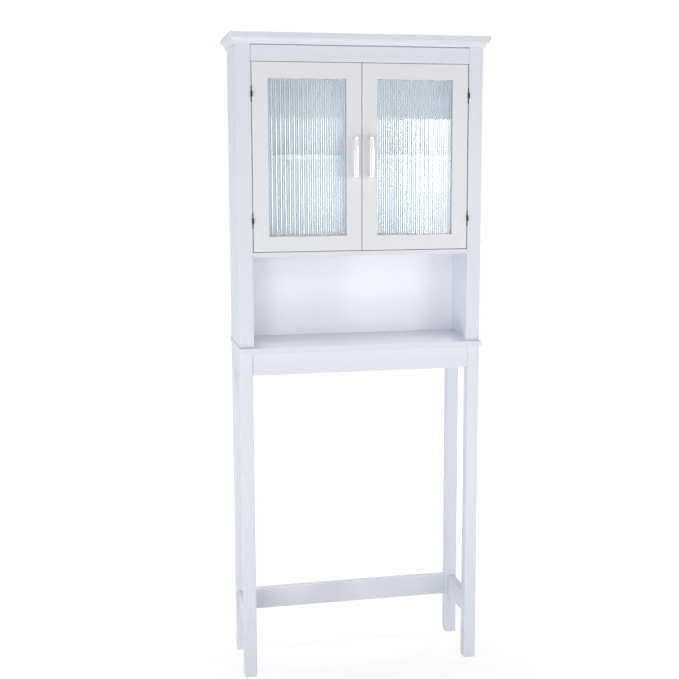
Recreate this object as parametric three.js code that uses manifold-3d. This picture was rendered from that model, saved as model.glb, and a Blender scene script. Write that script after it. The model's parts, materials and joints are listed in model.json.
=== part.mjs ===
// Over-the-toilet storage rack: a table-like base that stands astride the toilet, an open shelf
// on it, and a two-door cupboard with reeded glass under a moulded crown.
// Millimetres, +Z up, +Y towards the wall, +X to the right. The origin is on the floor, in the
// middle of the outline.

import * as THREE from 'three';
import { mergeVertices } from 'three/addons/utils/BufferGeometryUtils.js';
import Module from 'manifold-3d';

const wasm = await Module();
wasm.setup();

// Overall
const total_height = 1700;
const crown_width = 680;
const crown_depth = 239;

// Joints and edges
const joint_gap = 0.3; // glue line between pieces that meet
const edge_radius = 1.5; // rounded edge of a painted board
const corner_steps = 2; // facets of a rounded edge

// Base: ledge board, legs, aprons and low stretchers
const base_height = 900; // floor to the top of the ledge board
const ledge_thickness = 14;
const ledge_radius = 2;
const ledge_side_overhang = 2; // past the cabinet above
const ledge_front_overhang = 12;
const ledge_back_overhang = 10;
const leg_size = 33;
const leg_radius = 2.5;
const leg_side_inset = 2.5; // from the end of the ledge board
const leg_front_inset = 10.5;
const leg_back_inset = 2;
const apron_height = 60;
const apron_thickness = 18;
const apron_recess = 1.5; // behind the outer faces of the legs
const stretcher_rise = 115; // floor to the underside of the low stretchers
const stretcher_height = 60;
const stretcher_thickness = 18;
const stretcher_setback = 9; // from the inner face of a leg
const foot_height = 7;
const foot_inset = 1;

// Cabinet carcass
const crown_side_overhang = 16; // crown slab past the side panels
const crown_front_overhang = 18;
const crown_back_overhang = 14;
const post_width = 37;
const post_depth = 25;
const side_panel_thickness = 15;
const back_panel_thickness = 4;
const back_panel_rebate = 7; // how far the back panel laps into each side panel
const open_height = 235; // clear height of the open shelf
const divider_thickness = 12;
const top_rail_height = 42.3; // from the crown moulding to the doors
const top_rail_thickness = 18;
const top_panel_thickness = 12.5;

// Crown
const slab_thickness = 11.5;
const moulding_height = 17;
const moulding_reach = 14; // how far the top of the moulding stands out
const moulding_foot = 1; // flat under the lower roll
const roll_radius = 4.3; // quarter round at the bottom
const roll_steps = 4;
const fillet_height = 1.6; // upright between the roll and the cove
const moulding_cap_height = 1.5; // upright under the slab
const cove_hollow = 0.9; // how far the cove sinks behind a straight slope
const cove_steps = 6;
const shadow_groove_height = 1.6; // between the moulding and the face of the top rail
const shadow_groove_depth = 5;

// Shelf inside the cupboard
const shelf_thickness = 14;
const shelf_top = 1396; // above the floor
const shelf_front_gap = 4; // behind the posts
const shelf_play = 1; // at each end
const pin_radius = 2.4;
const pin_hole_radius = 2.7;
const pin_hole_depth = 9;
const pin_hole_pitch = 32; // rows of holes above and below the one in use
const pin_length = 8; // inside the side panel
const pin_reach = 9; // plate under the shelf
const pin_plate_thickness = 2;
const pin_plate_width = 10;
const pin_from_edge = 30; // from the shelf's front and back edges

// Doors
const door_thickness = 16;
const hinge_gap = 2.5; // between a door and its post, where the hinge leaves lie
const meeting_gap = 1.6; // between the two doors
const door_top_gap = 1;
const door_bottom_gap = 1.4;
const door_edge_radius = 1.2;
const sight_chamfer = 0.8; // eased edge of the frame round the glass
const stile_width = 41; // at the hinges
const meeting_stile_width = 39.45;
const door_top_rail_height = 40.3;
const door_bottom_rail_height = 39.1;
const glass_setback = 7; // from the front of the door to the face of the glass
const glass_thickness = 4;
const glass_lap = 6; // glass behind the frame
const glass_play = 1; // round the pane in its rebate
const reed_pitch = 11.65;
const reed_height = 1.2;
const reed_steps = 6;
const bead_play = 0.5; // round the glazing bead

// Handles
const handle_length = 104.5;
const handle_width = 11;
const handle_reach = 27; // from the door to the face of the bar
const handle_rise = 1.6; // of its middle above the middle of the door
const handle_bar_thickness = 5;
const handle_foot_length = 9;
const handle_corner_radius = 2.5;
const handle_throat_radius = 7;
const handle_ease = 0.8;

// Hinges
const hinge_from_end = 80; // from the door's top and bottom to a hinge's middle
const hinge_plate_height = 40;
const hinge_plate_depth = 15;
const hinge_plate_thickness = 0.9;
const hinge_plate_play = 0.15; // behind each leaf
const barrel_height = 14;
const barrel_radius = 2.7;
const barrel_clearance = 0.25; // between a barrel and the faces behind it
const pivot_pin_radius = 1.1;
const pivot_bore_radius = 1.25;
const knuckle_gap = 0.3;
const knuckle_sides = 16;

// Magnet catch
const catch_width = 46;
const catch_depth = 12;
const catch_above = 14; // behind the top rail
const catch_below = 11; // behind the doors
const strike_width = 16;
const strike_height = 10;
const strike_thickness = 1.2;
const strike_from_edge = 4; // from the meeting edge of a door

// Planes that pieces share
const overall_depth = crown_depth + Math.max(0, handle_reach - crown_front_overhang);
const wall = overall_depth / 2;
const body_width = crown_width - 2 * crown_side_overhang;
const body_side = body_width / 2;
const body_front = wall - crown_depth + crown_front_overhang;
const body_back = wall - crown_back_overhang;
const post_inner = body_side - post_width;
const panel_inner = body_side - side_panel_thickness;
const crown_underside = total_height - slab_thickness;
const carcass_top = crown_underside - joint_gap;
const moulding_bottom = crown_underside - moulding_height;
const opening_top = moulding_bottom - top_rail_height;
const divider_underside = base_height + open_height;
const opening_bottom = divider_underside + divider_thickness;
const back_panel_front = body_back - back_panel_thickness;
const carcass_bottom = base_height + joint_gap;
const inside_back = back_panel_front - joint_gap;

const painted = { color: 0xf0f2f6, roughness: 0.42, metalness: 0 };
const nickel = { color: 0xc9ccd0, roughness: 0.22, metalness: 1 };
const chrome = { color: 0xe6e8ea, roughness: 0.12, metalness: 1 };
const steel = { color: 0xb4b7bb, roughness: 0.35, metalness: 1 };
const white_plastic = { color: 0xe9eaec, roughness: 0.5, metalness: 0 };
const fluted_glass = { color: 0xd5e6ee, roughness: 0.06, metalness: 0, transparent: true, opacity: 0.45 };

// --- Shaping ---------------------------------------------------------------------------------

// A polygon from its corners.
function outline(points) {
  return new THREE.Shape(points.map(([x, y]) => new THREE.Vector2(x, y)));
}

// A rectangle with rounded corners. The radii are those at (x0, y0), (x1, y0), (x1, y1), (x0, y1).
function rounded_rectangle(x0, x1, y0, y1, radii) {
  const corners = [[x0, y0, 1, 1], [x1, y0, -1, 1], [x1, y1, -1, -1], [x0, y1, 1, -1]];
  const points = [];
  corners.forEach(([x, y, inward_x, inward_y], index) => {
    const radius = radii[index];
    const steps = radius > 0 ? corner_steps : 0;
    for (let step = 0; step <= steps; step++) {
      const turn = Math.PI * (1 + (index + step / corner_steps) / 2);
      points.push([
        x + radius * (inward_x + Math.cos(turn)),
        y + radius * (inward_y + Math.sin(turn)),
      ]);
    }
  });
  return outline(points);
}

const in_order = (pair) => [Math.min(...pair), Math.max(...pair)];

// A board between two planes on each axis, with all its edges rounded.
function board(xs, ys, zs, radius = edge_radius) {
  const [[x0, x1], [y0, y1], [z0, z1]] = [xs, ys, zs].map(in_order);
  const shape = rounded_rectangle(x0 + radius, x1 - radius, y0 + radius, y1 - radius,
    Array(4).fill(radius / 2));
  const geometry = new THREE.ExtrudeGeometry(shape, {
    depth: z1 - z0 - 2 * radius, bevelThickness: radius, bevelSize: radius,
    bevelSegments: corner_steps,
  });
  return geometry.translate(0, 0, z0 + radius);
}

// A length of squared timber along one axis, with sawn ends. The radii are those of its long
// edges: a number for all four, or one for each corner of the section, which lies in YZ, ZX or XY.
function stick(along, xs, ys, zs, radii = edge_radius) {
  const sections = { x: [ys, zs, xs], y: [zs, xs, ys], z: [xs, ys, zs] };
  const [[a0, a1], [b0, b1], [c0, c1]] = sections[along].map(in_order);
  const corners = Array.isArray(radii) ? radii : Array(4).fill(radii);
  const geometry = upright(rounded_rectangle(a0, a1, b0, b1, corners), c0, c1);
  const [x, y, z] = [[1, 0, 0], [0, 1, 0], [0, 0, 1]].map((axis) => new THREE.Vector3(...axis));
  const bases = { x: [y, z, x], y: [z, x, y], z: [x, y, z] };
  return geometry.applyMatrix4(new THREE.Matrix4().makeBasis(...bases[along]));
}

// A square-edged block between two planes on each axis, for cuts and small parts.
function block(xs, ys, zs) {
  const size = [xs, ys, zs].map(([a, b]) => Math.abs(b - a));
  const middle = [xs, ys, zs].map(([a, b]) => (a + b) / 2);
  return new THREE.BoxGeometry(...size).translate(...middle);
}

// A plan outline raised from z0 to z1.
function upright(shape, z0, z1) {
  return new THREE.ExtrudeGeometry(shape, { depth: z1 - z0, bevelEnabled: false }).translate(0, 0, z0);
}

// A cylinder with its axis along Z, from z0 to z1, its facets turned so that flats face the axes.
function rod(x, y, radius, z0, z1, sides = knuckle_sides) {
  const geometry = new THREE.CylinderGeometry(radius, radius, z1 - z0, sides);
  return geometry.rotateX(Math.PI / 2).rotateZ(Math.PI / sides).translate(x, y, (z0 + z1) / 2);
}

function solid(geometry) {
  const bare = geometry.clone();
  bare.deleteAttribute('normal');
  bare.deleteAttribute('uv');
  const merged = mergeVertices(bare, 1e-4);
  return new wasm.Manifold(new wasm.Mesh({
    numProp: 3,
    vertProperties: new Float32Array(merged.attributes.position.array),
    triVerts: new Uint32Array(merged.index.array),
  }));
}

function surface(manifold) {
  const mesh = manifold.getMesh();
  const geometry = new THREE.BufferGeometry();
  geometry.setAttribute('position', new THREE.BufferAttribute(mesh.vertProperties, 3));
  geometry.setIndex(new THREE.BufferAttribute(mesh.triVerts, 1));
  geometry.computeVertexNormals();
  return geometry;
}

// The first shape with the others cut away.
function cut(first, ...others) {
  return surface(others.reduce((left, other) => left.subtract(solid(other)), solid(first)));
}

// All the shapes as one piece.
function join(first, ...others) {
  return surface(others.reduce((whole, other) => whole.add(solid(other)), solid(first)));
}

function common(first, second) {
  return surface(solid(first).intersect(solid(second)));
}

function piece(group, name, geometry, finish) {
  const mesh = new THREE.Mesh(geometry, new THREE.MeshStandardMaterial(finish));
  mesh.name = name;
  group.add(mesh);
}

const side_name = (side) => (side < 0 ? 'left' : 'right');

// --- Base ------------------------------------------------------------------------------------

function make_base() {
  const base = new THREE.Group();
  const ledge_side = body_side + ledge_side_overhang;
  const ledge_front = body_front - ledge_front_overhang;
  const ledge_back = body_back + ledge_back_overhang;
  const ledge_underside = base_height - ledge_thickness;
  piece(base, 'ledge_board', board([-ledge_side, ledge_side], [ledge_front, ledge_back],
    [ledge_underside, base_height], ledge_radius), painted);

  const frame_top = ledge_underside - joint_gap;
  const leg_outer = ledge_side - leg_side_inset;
  const leg_inner = leg_outer - leg_size;
  const legs_front = ledge_front + leg_front_inset;
  const legs_back = ledge_back - leg_back_inset;
  const front_leg_rear = legs_front + leg_size;
  const rear_leg_front = legs_back - leg_size;

  for (const side of [-1, 1]) {
    for (const [end, ys] of [
      ['front', [legs_front, front_leg_rear]],
      ['rear', [rear_leg_front, legs_back]],
    ]) {
      const place = `${end}_${side_name(side)}`;
      piece(base, `leg_${place}`, stick('z', [side * leg_inner, side * leg_outer], ys,
        [foot_height + joint_gap, frame_top], leg_radius), painted);
      const [y0, y1] = [ys[0] + foot_inset, ys[1] - foot_inset];
      piece(base, `foot_${place}`, board(
        [side * (leg_inner + foot_inset), side * (leg_outer - foot_inset)], [y0, y1],
        [0, foot_height]), white_plastic);
    }
  }

  const apron = [frame_top - apron_height, frame_top];
  const stretcher = [stretcher_rise, stretcher_rise + stretcher_height];
  const across = leg_inner - joint_gap;
  const along = [front_leg_rear + joint_gap, rear_leg_front - joint_gap];
  const apron_front = legs_front + apron_recess;
  const apron_back = legs_back - apron_recess;
  const stretcher_front = rear_leg_front + stretcher_setback;
  piece(base, 'apron_front', stick('x', [-across, across], [apron_front, apron_front + apron_thickness],
    apron), painted);
  piece(base, 'apron_rear', stick('x', [-across, across], [apron_back - apron_thickness, apron_back],
    apron), painted);
  piece(base, 'stretcher_rear', stick('x', [-across, across],
    [stretcher_front, stretcher_front + stretcher_thickness], stretcher), painted);
  for (const side of [-1, 1]) {
    const outer = leg_outer - apron_recess;
    piece(base, `apron_${side_name(side)}`, stick('y', [side * (outer - apron_thickness), side * outer],
      along, apron), painted);
    const inner = leg_inner + stretcher_setback;
    piece(base, `stretcher_${side_name(side)}`, stick('y',
      [side * inner, side * (inner + stretcher_thickness)], along, stretcher), painted);
  }
  return base;
}

// --- Cabinet ---------------------------------------------------------------------------------

const shelf_underside = shelf_top - shelf_thickness;
const shelf_front = body_front + post_depth + shelf_front_gap;
const pin_centre_z = shelf_underside - joint_gap - pin_plate_thickness - pin_radius;
const pin_rows = [shelf_front + pin_from_edge, inside_back - pin_from_edge];

// A cylinder along X, for a shelf pin or its hole.
function cross_rod(x0, x1, y, z, radius) {
  const sides = 12;
  const geometry = new THREE.CylinderGeometry(radius, radius, Math.abs(x1 - x0), sides);
  return geometry.rotateZ(Math.PI / 2).translate((x0 + x1) / 2, y, z);
}

function make_side_panel(side) {
  const front = body_front + post_depth + joint_gap;
  const rebate_inner = panel_inner + back_panel_rebate;
  const rebate_front = back_panel_front - joint_gap;
  const panel = upright(outline([
    [panel_inner, front], [body_side, front], [body_side, body_back], [rebate_inner, body_back],
    [rebate_inner, rebate_front], [panel_inner, rebate_front],
  ].map(([x, y]) => [side * x, y])), carcass_bottom, carcass_top);
  const holes = [];
  for (const y of pin_rows) {
    for (const row of [-1, 0, 1]) {
      holes.push(cross_rod(side * (panel_inner - 1), side * (panel_inner + pin_hole_depth), y,
        pin_centre_z + row * pin_hole_pitch, pin_hole_radius));
    }
  }
  return cut(panel, ...holes);
}

function make_carcass() {
  const carcass = new THREE.Group();
  for (const side of [-1, 1]) {
    piece(carcass, `post_${side_name(side)}`, stick('z', [side * post_inner, side * body_side],
      [body_front, body_front + post_depth], [carcass_bottom, carcass_top],
      [edge_radius, edge_radius, 0, 0]), painted);
    piece(carcass, `side_panel_${side_name(side)}`, make_side_panel(side), painted);
  }

  const back_side = panel_inner + back_panel_rebate - joint_gap;
  piece(carcass, 'back_panel', block([-back_side, back_side], [back_panel_front, body_back],
    [carcass_bottom, carcass_top]), painted);

  const between_posts = post_inner - joint_gap;
  const between_panels = panel_inner - joint_gap;
  const rail_back = body_front + top_rail_thickness;
  const rail_face_top = moulding_bottom - shadow_groove_height;
  const rail_face = stick('x', [-between_posts, between_posts], [body_front, rail_back],
    [opening_top, rail_face_top]);
  const rail_tongue = block([-between_posts, between_posts], [body_front + shadow_groove_depth, rail_back],
    [rail_face_top - 2 * edge_radius, carcass_top]);
  piece(carcass, 'top_rail', join(rail_face, rail_tongue), painted);

  const behind_post = body_front + post_depth + joint_gap;
  const notched = (front) => outline([
    [-between_posts, front], [between_posts, front], [between_posts, behind_post],
    [between_panels, behind_post], [between_panels, inside_back], [-between_panels, inside_back],
    [-between_panels, behind_post], [-between_posts, behind_post],
  ]);
  piece(carcass, 'top_panel', upright(notched(rail_back + joint_gap), carcass_top - top_panel_thickness,
    carcass_top), painted);

  const nosing = stick('x', [-body_width, body_width], [body_front, wall],
    [divider_underside, opening_bottom], [edge_radius, 0, 0, edge_radius]);
  piece(carcass, 'divider_shelf', common(nosing,
    upright(notched(body_front), divider_underside - 1, opening_bottom + 1)), painted);
  return carcass;
}

// --- Crown -----------------------------------------------------------------------------------

// Section of the crown moulding, reach from the carcass against height above its lower edge: a
// quarter-round roll, an upright fillet, a shallow cove and a narrow cap under the slab.
function moulding_section() {
  const points = [[0, 0]];
  for (let step = 0; step <= roll_steps; step++) {
    const turn = (step / roll_steps) * (Math.PI / 2);
    points.push([
      moulding_foot + roll_radius * Math.sin(turn),
      roll_radius * (1 - Math.cos(turn)),
    ]);
  }
  const cove_start = new THREE.Vector2(moulding_foot + roll_radius, roll_radius + fillet_height);
  const cove_end = new THREE.Vector2(moulding_reach, moulding_height - moulding_cap_height);
  const hollow = cove_end.clone().sub(cove_start).normalize().multiplyScalar(2 * cove_hollow);
  const middle = cove_start.clone().lerp(cove_end, 0.5);
  const cove = new THREE.QuadraticBezierCurve(cove_start,
    new THREE.Vector2(middle.x - hollow.y, middle.y + hollow.x), cove_end);
  points.push(...cove.getPoints(cove_steps).map((point) => point.toArray()));
  points.push([moulding_reach, moulding_height - joint_gap], [0, moulding_height - joint_gap]);
  return outline(points);
}

// The moulding along X, with its back on y = 0 and reaching towards -Y.
function moulding_stick(length) {
  const stick = new THREE.ExtrudeGeometry(moulding_section(), { depth: length, bevelEnabled: false });
  stick.translate(0, 0, -length / 2);
  return stick.applyMatrix4(new THREE.Matrix4().set(
    0, 0, -1, 0,
    -1, 0, 0, 0,
    0, 1, 0, moulding_bottom,
    0, 0, 0, 1,
  ));
}

function make_crown() {
  const crown = new THREE.Group();
  const slab_side = crown_width / 2;
  piece(crown, 'crown_slab', board([-slab_side, slab_side], [wall - crown_depth, wall],
    [crown_underside, total_height]), painted);

  const reach = moulding_reach;
  const front = body_front - joint_gap;
  const face = body_side + joint_gap;
  const margin = 5;
  const long_front = moulding_stick(2 * (face + reach + margin)).translate(0, front, 0);
  const mitre = joint_gap * Math.SQRT2 / 2;
  const front_plan = upright(outline([
    [-face - reach + mitre, front - reach], [face + reach - mitre, front - reach],
    [face - mitre, front], [-face + mitre, front],
  ]), moulding_bottom - margin, total_height);
  piece(crown, 'crown_moulding_front', common(long_front, front_plan), painted);

  for (const side of [-1, 1]) {
    const stick = moulding_stick(2 * crown_depth).rotateZ(side * Math.PI / 2);
    stick.translate(side * face, body_back - crown_depth + crown_depth / 2, 0);
    const plan = upright(outline([
      [face, front + mitre], [face + reach, front - reach + mitre],
      [face + reach, body_back], [face, body_back],
    ].map(([x, y]) => [side * x, y])), moulding_bottom - margin, total_height);
    piece(crown, `crown_moulding_${side_name(side)}`, common(stick, plan), painted);
  }
  return crown;
}

// --- Shelf and its pins ----------------------------------------------------------------------

function make_shelf() {
  const fittings = new THREE.Group();
  const shelf_side = panel_inner - shelf_play;
  piece(fittings, 'inner_shelf', board([-shelf_side, shelf_side], [shelf_front, inside_back - shelf_play],
    [shelf_underside, shelf_top]), painted);
  for (const side of [-1, 1]) {
    pin_rows.forEach((y, index) => {
      const plate_top = shelf_underside - joint_gap;
      const inner = panel_inner - joint_gap;
      const pin = cross_rod(side * (inner - 1), side * (panel_inner + pin_length), y, pin_centre_z,
        pin_radius);
      const plate = block([side * (inner - pin_reach), side * inner],
        [y - pin_plate_width / 2, y + pin_plate_width / 2],
        [plate_top - pin_plate_thickness, plate_top]);
      const cheek = block([side * (inner - pin_plate_thickness), side * inner],
        [y - pin_plate_width / 2, y + pin_plate_width / 2],
        [pin_centre_z - pin_radius - 1, plate_top]);
      const end = index === 0 ? 'front' : 'rear';
      piece(fittings, `shelf_pin_${end}_${side_name(side)}`, join(plate, cheek, pin), steel);
    });
  }

  const rail_back = body_front + top_rail_thickness + joint_gap;
  piece(fittings, 'magnet_catch', board([-catch_width / 2, catch_width / 2],
    [rail_back, rail_back + catch_depth], [opening_top - catch_below, opening_top + catch_above]),
    white_plastic);
  return fittings;
}

// --- Doors and hinges ------------------------------------------------------------------------

const door_bottom = opening_bottom + door_bottom_gap;
const door_top = opening_top - door_top_gap;
const door_outer = post_inner - hinge_gap; // hinge edge
const door_inner = meeting_gap / 2; // meeting edge
const door_back = body_front + door_thickness;
const pivot_x = post_inner - hinge_gap / 2;
const pivot_y = body_front - barrel_radius - barrel_clearance;
const hinge_heights = { lower: door_bottom + hinge_from_end, upper: door_top - hinge_from_end };

// One leaf of a hinge: a plate in the gap and the knuckles that it turns into round the pivot.
// from_x is the face that the plate lies against, towards is the way to the gap's middle.
function hinge_leaf(from_x, towards, knuckles, middle) {
  const near = from_x + towards * hinge_plate_play;
  const xs = [near, near + towards * hinge_plate_thickness];
  const plate_front = pivot_y + barrel_radius + knuckle_gap;
  const plate = block(xs, [plate_front, plate_front + hinge_plate_depth],
    [middle - hinge_plate_height / 2, middle + hinge_plate_height / 2]);
  const parts = [plate];
  const centre_x = Math.sign(from_x) * pivot_x;
  const tongue_front = pivot_y + pivot_bore_radius + 0.2;
  for (const [z0, z1] of knuckles) {
    parts.push(block(xs, [tongue_front, plate_front + 1], [z0, z1]));
    parts.push(rod(centre_x, pivot_y, barrel_radius, z0, z1));
  }
  return join(...parts);
}

function make_hinge(door, cabinet, side, level) {
  const middle = hinge_heights[level];
  const x = side * pivot_x;
  const low = middle - barrel_height / 2;
  const high = middle + barrel_height / 2;
  const third = barrel_height / 6;
  const fixed = hinge_leaf(side * post_inner, -side, [[middle - third, middle + third]], middle);
  const pin = rod(x, pivot_y, pivot_pin_radius, low + 0.5, high - 0.5);
  piece(cabinet, `hinge_${level}_${side_name(side)}_post_leaf`, join(fixed, pin), nickel);

  const moving = hinge_leaf(side * door_outer, side, [
    [low, middle - third - knuckle_gap], [middle + third + knuckle_gap, high],
  ], middle);
  const bore = rod(x, pivot_y, pivot_bore_radius, low - 1, high + 1);
  piece(door, `hinge_${level}_${side_name(side)}_door_leaf`, cut(moving, bore), nickel);
}

// Plan of the pane: flat in front, and behind a row of round reeds, cut off where the pane ends.
function pane_outline(x0, x1, front) {
  const middle = (x0 + x1) / 2;
  const reed_radius = (reed_pitch ** 2 / 4 + reed_height ** 2) / (2 * reed_height);
  const centre = front + glass_thickness - reed_radius;
  const pitch = reed_pitch / reed_steps;
  const last = Math.ceil((x1 - middle) / pitch) - 1;
  const points = [];
  for (let step = -last; step <= last; step++) {
    points.push(middle + step * pitch);
  }
  const reeds = [x0, ...points, x1].map((x) => {
    const across = THREE.MathUtils.euclideanModulo(x - middle, reed_pitch) - reed_pitch / 2;
    return [x, centre + Math.sqrt(reed_radius ** 2 - across ** 2)];
  });
  return outline([[x0, front], [x1, front], ...reeds.reverse()]);
}

// Side view of the bar pull: reach from the door against height, a bar on two feet.
function handle_side() {
  const half = handle_length / 2;
  const throat = half - handle_foot_length;
  const depth = handle_reach - handle_bar_thickness;
  const shape = new THREE.Shape();
  shape.moveTo(joint_gap, -half);
  shape.lineTo(handle_reach - handle_corner_radius, -half);
  shape.absarc(handle_reach - handle_corner_radius, -half + handle_corner_radius,
    handle_corner_radius, -Math.PI / 2, 0, false);
  shape.absarc(handle_reach - handle_corner_radius, half - handle_corner_radius,
    handle_corner_radius, 0, Math.PI / 2, false);
  shape.lineTo(joint_gap, half);
  shape.lineTo(joint_gap, throat);
  shape.absarc(depth - handle_throat_radius, throat - handle_throat_radius,
    handle_throat_radius, Math.PI / 2, 0, true);
  shape.absarc(depth - handle_throat_radius, -throat + handle_throat_radius,
    handle_throat_radius, 0, -Math.PI / 2, true);
  shape.lineTo(joint_gap, -throat);
  return shape;
}

function make_handle(side) {
  const width = handle_width - 2 * handle_ease;
  const bar = new THREE.ExtrudeGeometry(handle_side(), {
    depth: width, bevelThickness: handle_ease, bevelSize: handle_ease, bevelOffset: -handle_ease,
    bevelSegments: corner_steps, curveSegments: 4,
  });
  bar.translate(0, 0, -width / 2);
  const middle_x = side * (door_inner + meeting_stile_width / 2);
  const middle_z = (door_bottom + door_top) / 2 + handle_rise;
  return bar.applyMatrix4(new THREE.Matrix4().set(
    0, 0, -1, middle_x,
    -1, 0, 0, body_front,
    0, 1, 0, middle_z,
    0, 0, 0, 1,
  ));
}

// The widening mouth of a hole in the door's face, which eases the edges round the glass.
function flared_mouth(xs, zs) {
  const [[x0, x1], [z0, z1]] = [xs, zs].map(in_order);
  const mouth = new THREE.ExtrudeGeometry(outline([[x0, z0], [x1, z0], [x1, z1], [x0, z1]]), {
    depth: 1, bevelThickness: sight_chamfer, bevelSize: sight_chamfer, bevelSegments: 1,
  });
  return mouth.rotateX(Math.PI / 2).translate(0, body_front, 0);
}

function make_door(side, cabinet) {
  const door = new THREE.Group();
  const name = side_name(side);
  const ys = [body_front, door_back];
  const glass_outer = door_outer - stile_width;
  const glass_inner = door_inner + meeting_stile_width;
  const glass_bottom = door_bottom + door_bottom_rail_height;
  const glass_top = door_top - door_top_rail_height;
  const glass_front = body_front + glass_setback;
  const lap = glass_lap + glass_play;
  const rebate = block([side * (glass_inner - lap), side * (glass_outer + lap)],
    [glass_front, door_back + 1], [glass_bottom - lap, glass_top + lap]);

  const sight_xs = [side * glass_inner, side * glass_outer];
  const sight_hole = block(sight_xs, [body_front - 1, door_back + 1], [glass_bottom, glass_top]);
  const frame = cut(
    board([side * door_inner, side * door_outer], ys, [door_bottom, door_top], door_edge_radius),
    sight_hole, flared_mouth(sight_xs, [glass_bottom, glass_top]), rebate);
  const through = [body_front - 1, door_back + 1];
  const member = (xs, zs) => common(frame, block(xs.map((x) => side * x), through, zs));
  const rail_xs = [glass_inner + joint_gap, glass_outer - joint_gap];
  piece(door, `door_${name}_hinge_stile`, member([glass_outer, door_outer + 1],
    [door_bottom - 1, door_top + 1]), painted);
  piece(door, `door_${name}_meeting_stile`, member([door_inner - 1, glass_inner],
    [door_bottom - 1, door_top + 1]), painted);
  piece(door, `door_${name}_top_rail`, member(rail_xs, [glass_top - 1, door_top + 1]), painted);
  piece(door, `door_${name}_bottom_rail`, member(rail_xs, [door_bottom - 1, glass_bottom + 1]), painted);

  const pane_xs = [side * (glass_inner - glass_lap), side * (glass_outer + glass_lap)];
  piece(door, `door_${name}_glass`, upright(
    pane_outline(Math.min(...pane_xs), Math.max(...pane_xs), glass_front + joint_gap),
    glass_bottom - glass_lap, glass_top + glass_lap), fluted_glass);

  const bead_front = glass_front + glass_thickness + 2 * joint_gap;
  const bead_lap = lap - bead_play;
  const ring = block([side * (glass_inner - bead_lap), side * (glass_outer + bead_lap)],
    [bead_front, door_back], [glass_bottom - bead_lap, glass_top + bead_lap]);
  const sight = block([side * (glass_inner + 1), side * (glass_outer - 1)],
    [bead_front - 1, door_back + 1], [glass_bottom + 1, glass_top - 1]);
  piece(door, `door_${name}_glass_bead`, cut(ring, sight), painted);

  piece(door, `door_${name}_handle`, make_handle(side), chrome);

  const strike_x = door_inner + strike_from_edge;
  const strike_y = door_back + joint_gap;
  piece(door, `door_${name}_strike_plate`, block([side * strike_x, side * (strike_x + strike_width)],
    [strike_y, strike_y + strike_thickness], [door_top - strike_height, door_top]), steel);

  make_hinge(door, cabinet, side, 'lower');
  make_hinge(door, cabinet, side, 'upper');
  return door;
}

// --- Assembly --------------------------------------------------------------------------------

const rack = new THREE.Group();
const cabinet = new THREE.Group();
cabinet.add(make_carcass(), make_crown(), make_shelf());
rack.add(make_base(), cabinet, make_door(-1, cabinet), make_door(1, cabinet));

export default rack;
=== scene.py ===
import json
import math

import bmesh
import bpy
from mathutils import Matrix, Vector


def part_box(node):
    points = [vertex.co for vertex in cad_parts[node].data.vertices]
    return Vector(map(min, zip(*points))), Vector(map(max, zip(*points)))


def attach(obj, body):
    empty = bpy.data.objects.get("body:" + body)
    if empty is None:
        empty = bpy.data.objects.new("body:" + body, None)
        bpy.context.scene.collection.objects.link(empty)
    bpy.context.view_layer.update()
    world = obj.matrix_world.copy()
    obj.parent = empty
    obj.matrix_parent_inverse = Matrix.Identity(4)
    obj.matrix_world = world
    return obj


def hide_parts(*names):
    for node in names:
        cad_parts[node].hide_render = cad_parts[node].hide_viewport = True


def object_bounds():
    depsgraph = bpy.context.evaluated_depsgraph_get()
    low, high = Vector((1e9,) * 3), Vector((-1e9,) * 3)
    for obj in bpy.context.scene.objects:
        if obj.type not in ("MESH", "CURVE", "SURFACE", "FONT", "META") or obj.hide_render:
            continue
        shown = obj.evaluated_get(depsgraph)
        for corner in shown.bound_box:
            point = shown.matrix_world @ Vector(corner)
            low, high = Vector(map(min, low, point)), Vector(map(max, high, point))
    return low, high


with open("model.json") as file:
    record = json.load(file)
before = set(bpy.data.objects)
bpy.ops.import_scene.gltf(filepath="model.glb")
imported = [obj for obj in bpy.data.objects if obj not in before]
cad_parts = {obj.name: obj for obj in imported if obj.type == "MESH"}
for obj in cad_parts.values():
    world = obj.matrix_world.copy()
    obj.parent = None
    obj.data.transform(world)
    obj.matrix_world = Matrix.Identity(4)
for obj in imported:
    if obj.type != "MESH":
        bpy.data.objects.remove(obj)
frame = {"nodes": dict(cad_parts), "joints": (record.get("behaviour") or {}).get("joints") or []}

cad_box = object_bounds()
mm = 0.001

# ---------------------------------------------------------------------------------------------
# The base: four square legs, aprons, low stretchers and the ledge board on them.
# MDF and planed pine, primed and sprayed with a white satin lacquer, glued and dowelled.
# ---------------------------------------------------------------------------------------------


def linear(hex_colour):
    """An sRGB hex colour as the linear RGBA that shaders take."""
    parts = [int(hex_colour[i:i + 2], 16) / 255 for i in (0, 2, 4)]
    return [p / 12.92 if p <= 0.04045 else ((p + 0.055) / 1.055) ** 2.4 for p in parts] + [1.0]


def add_node(tree, kind, inputs=(), **settings):
    """Adds a node. inputs pairs a socket's name or number with a value or another node's output."""
    node = tree.nodes.new(kind)
    for name, value in settings.items():
        setattr(node, name, value)
    for socket, value in dict(inputs).items():
        if isinstance(value, bpy.types.NodeSocket):
            tree.links.new(value, node.inputs[socket])
        else:
            node.inputs[socket].default_value = value
    return node


def start_material(name):
    """An empty material, its node tree and the object's own coordinates, in metres."""
    material = bpy.data.materials.new(name)
    material.use_nodes = True
    tree = material.node_tree
    tree.nodes.clear()
    place = add_node(tree, "ShaderNodeTexCoord").outputs["Object"]
    return material, tree, place


def per_size(size):
    """The noise scale at which one feature is about this many metres across."""
    return 1 / size


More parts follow.
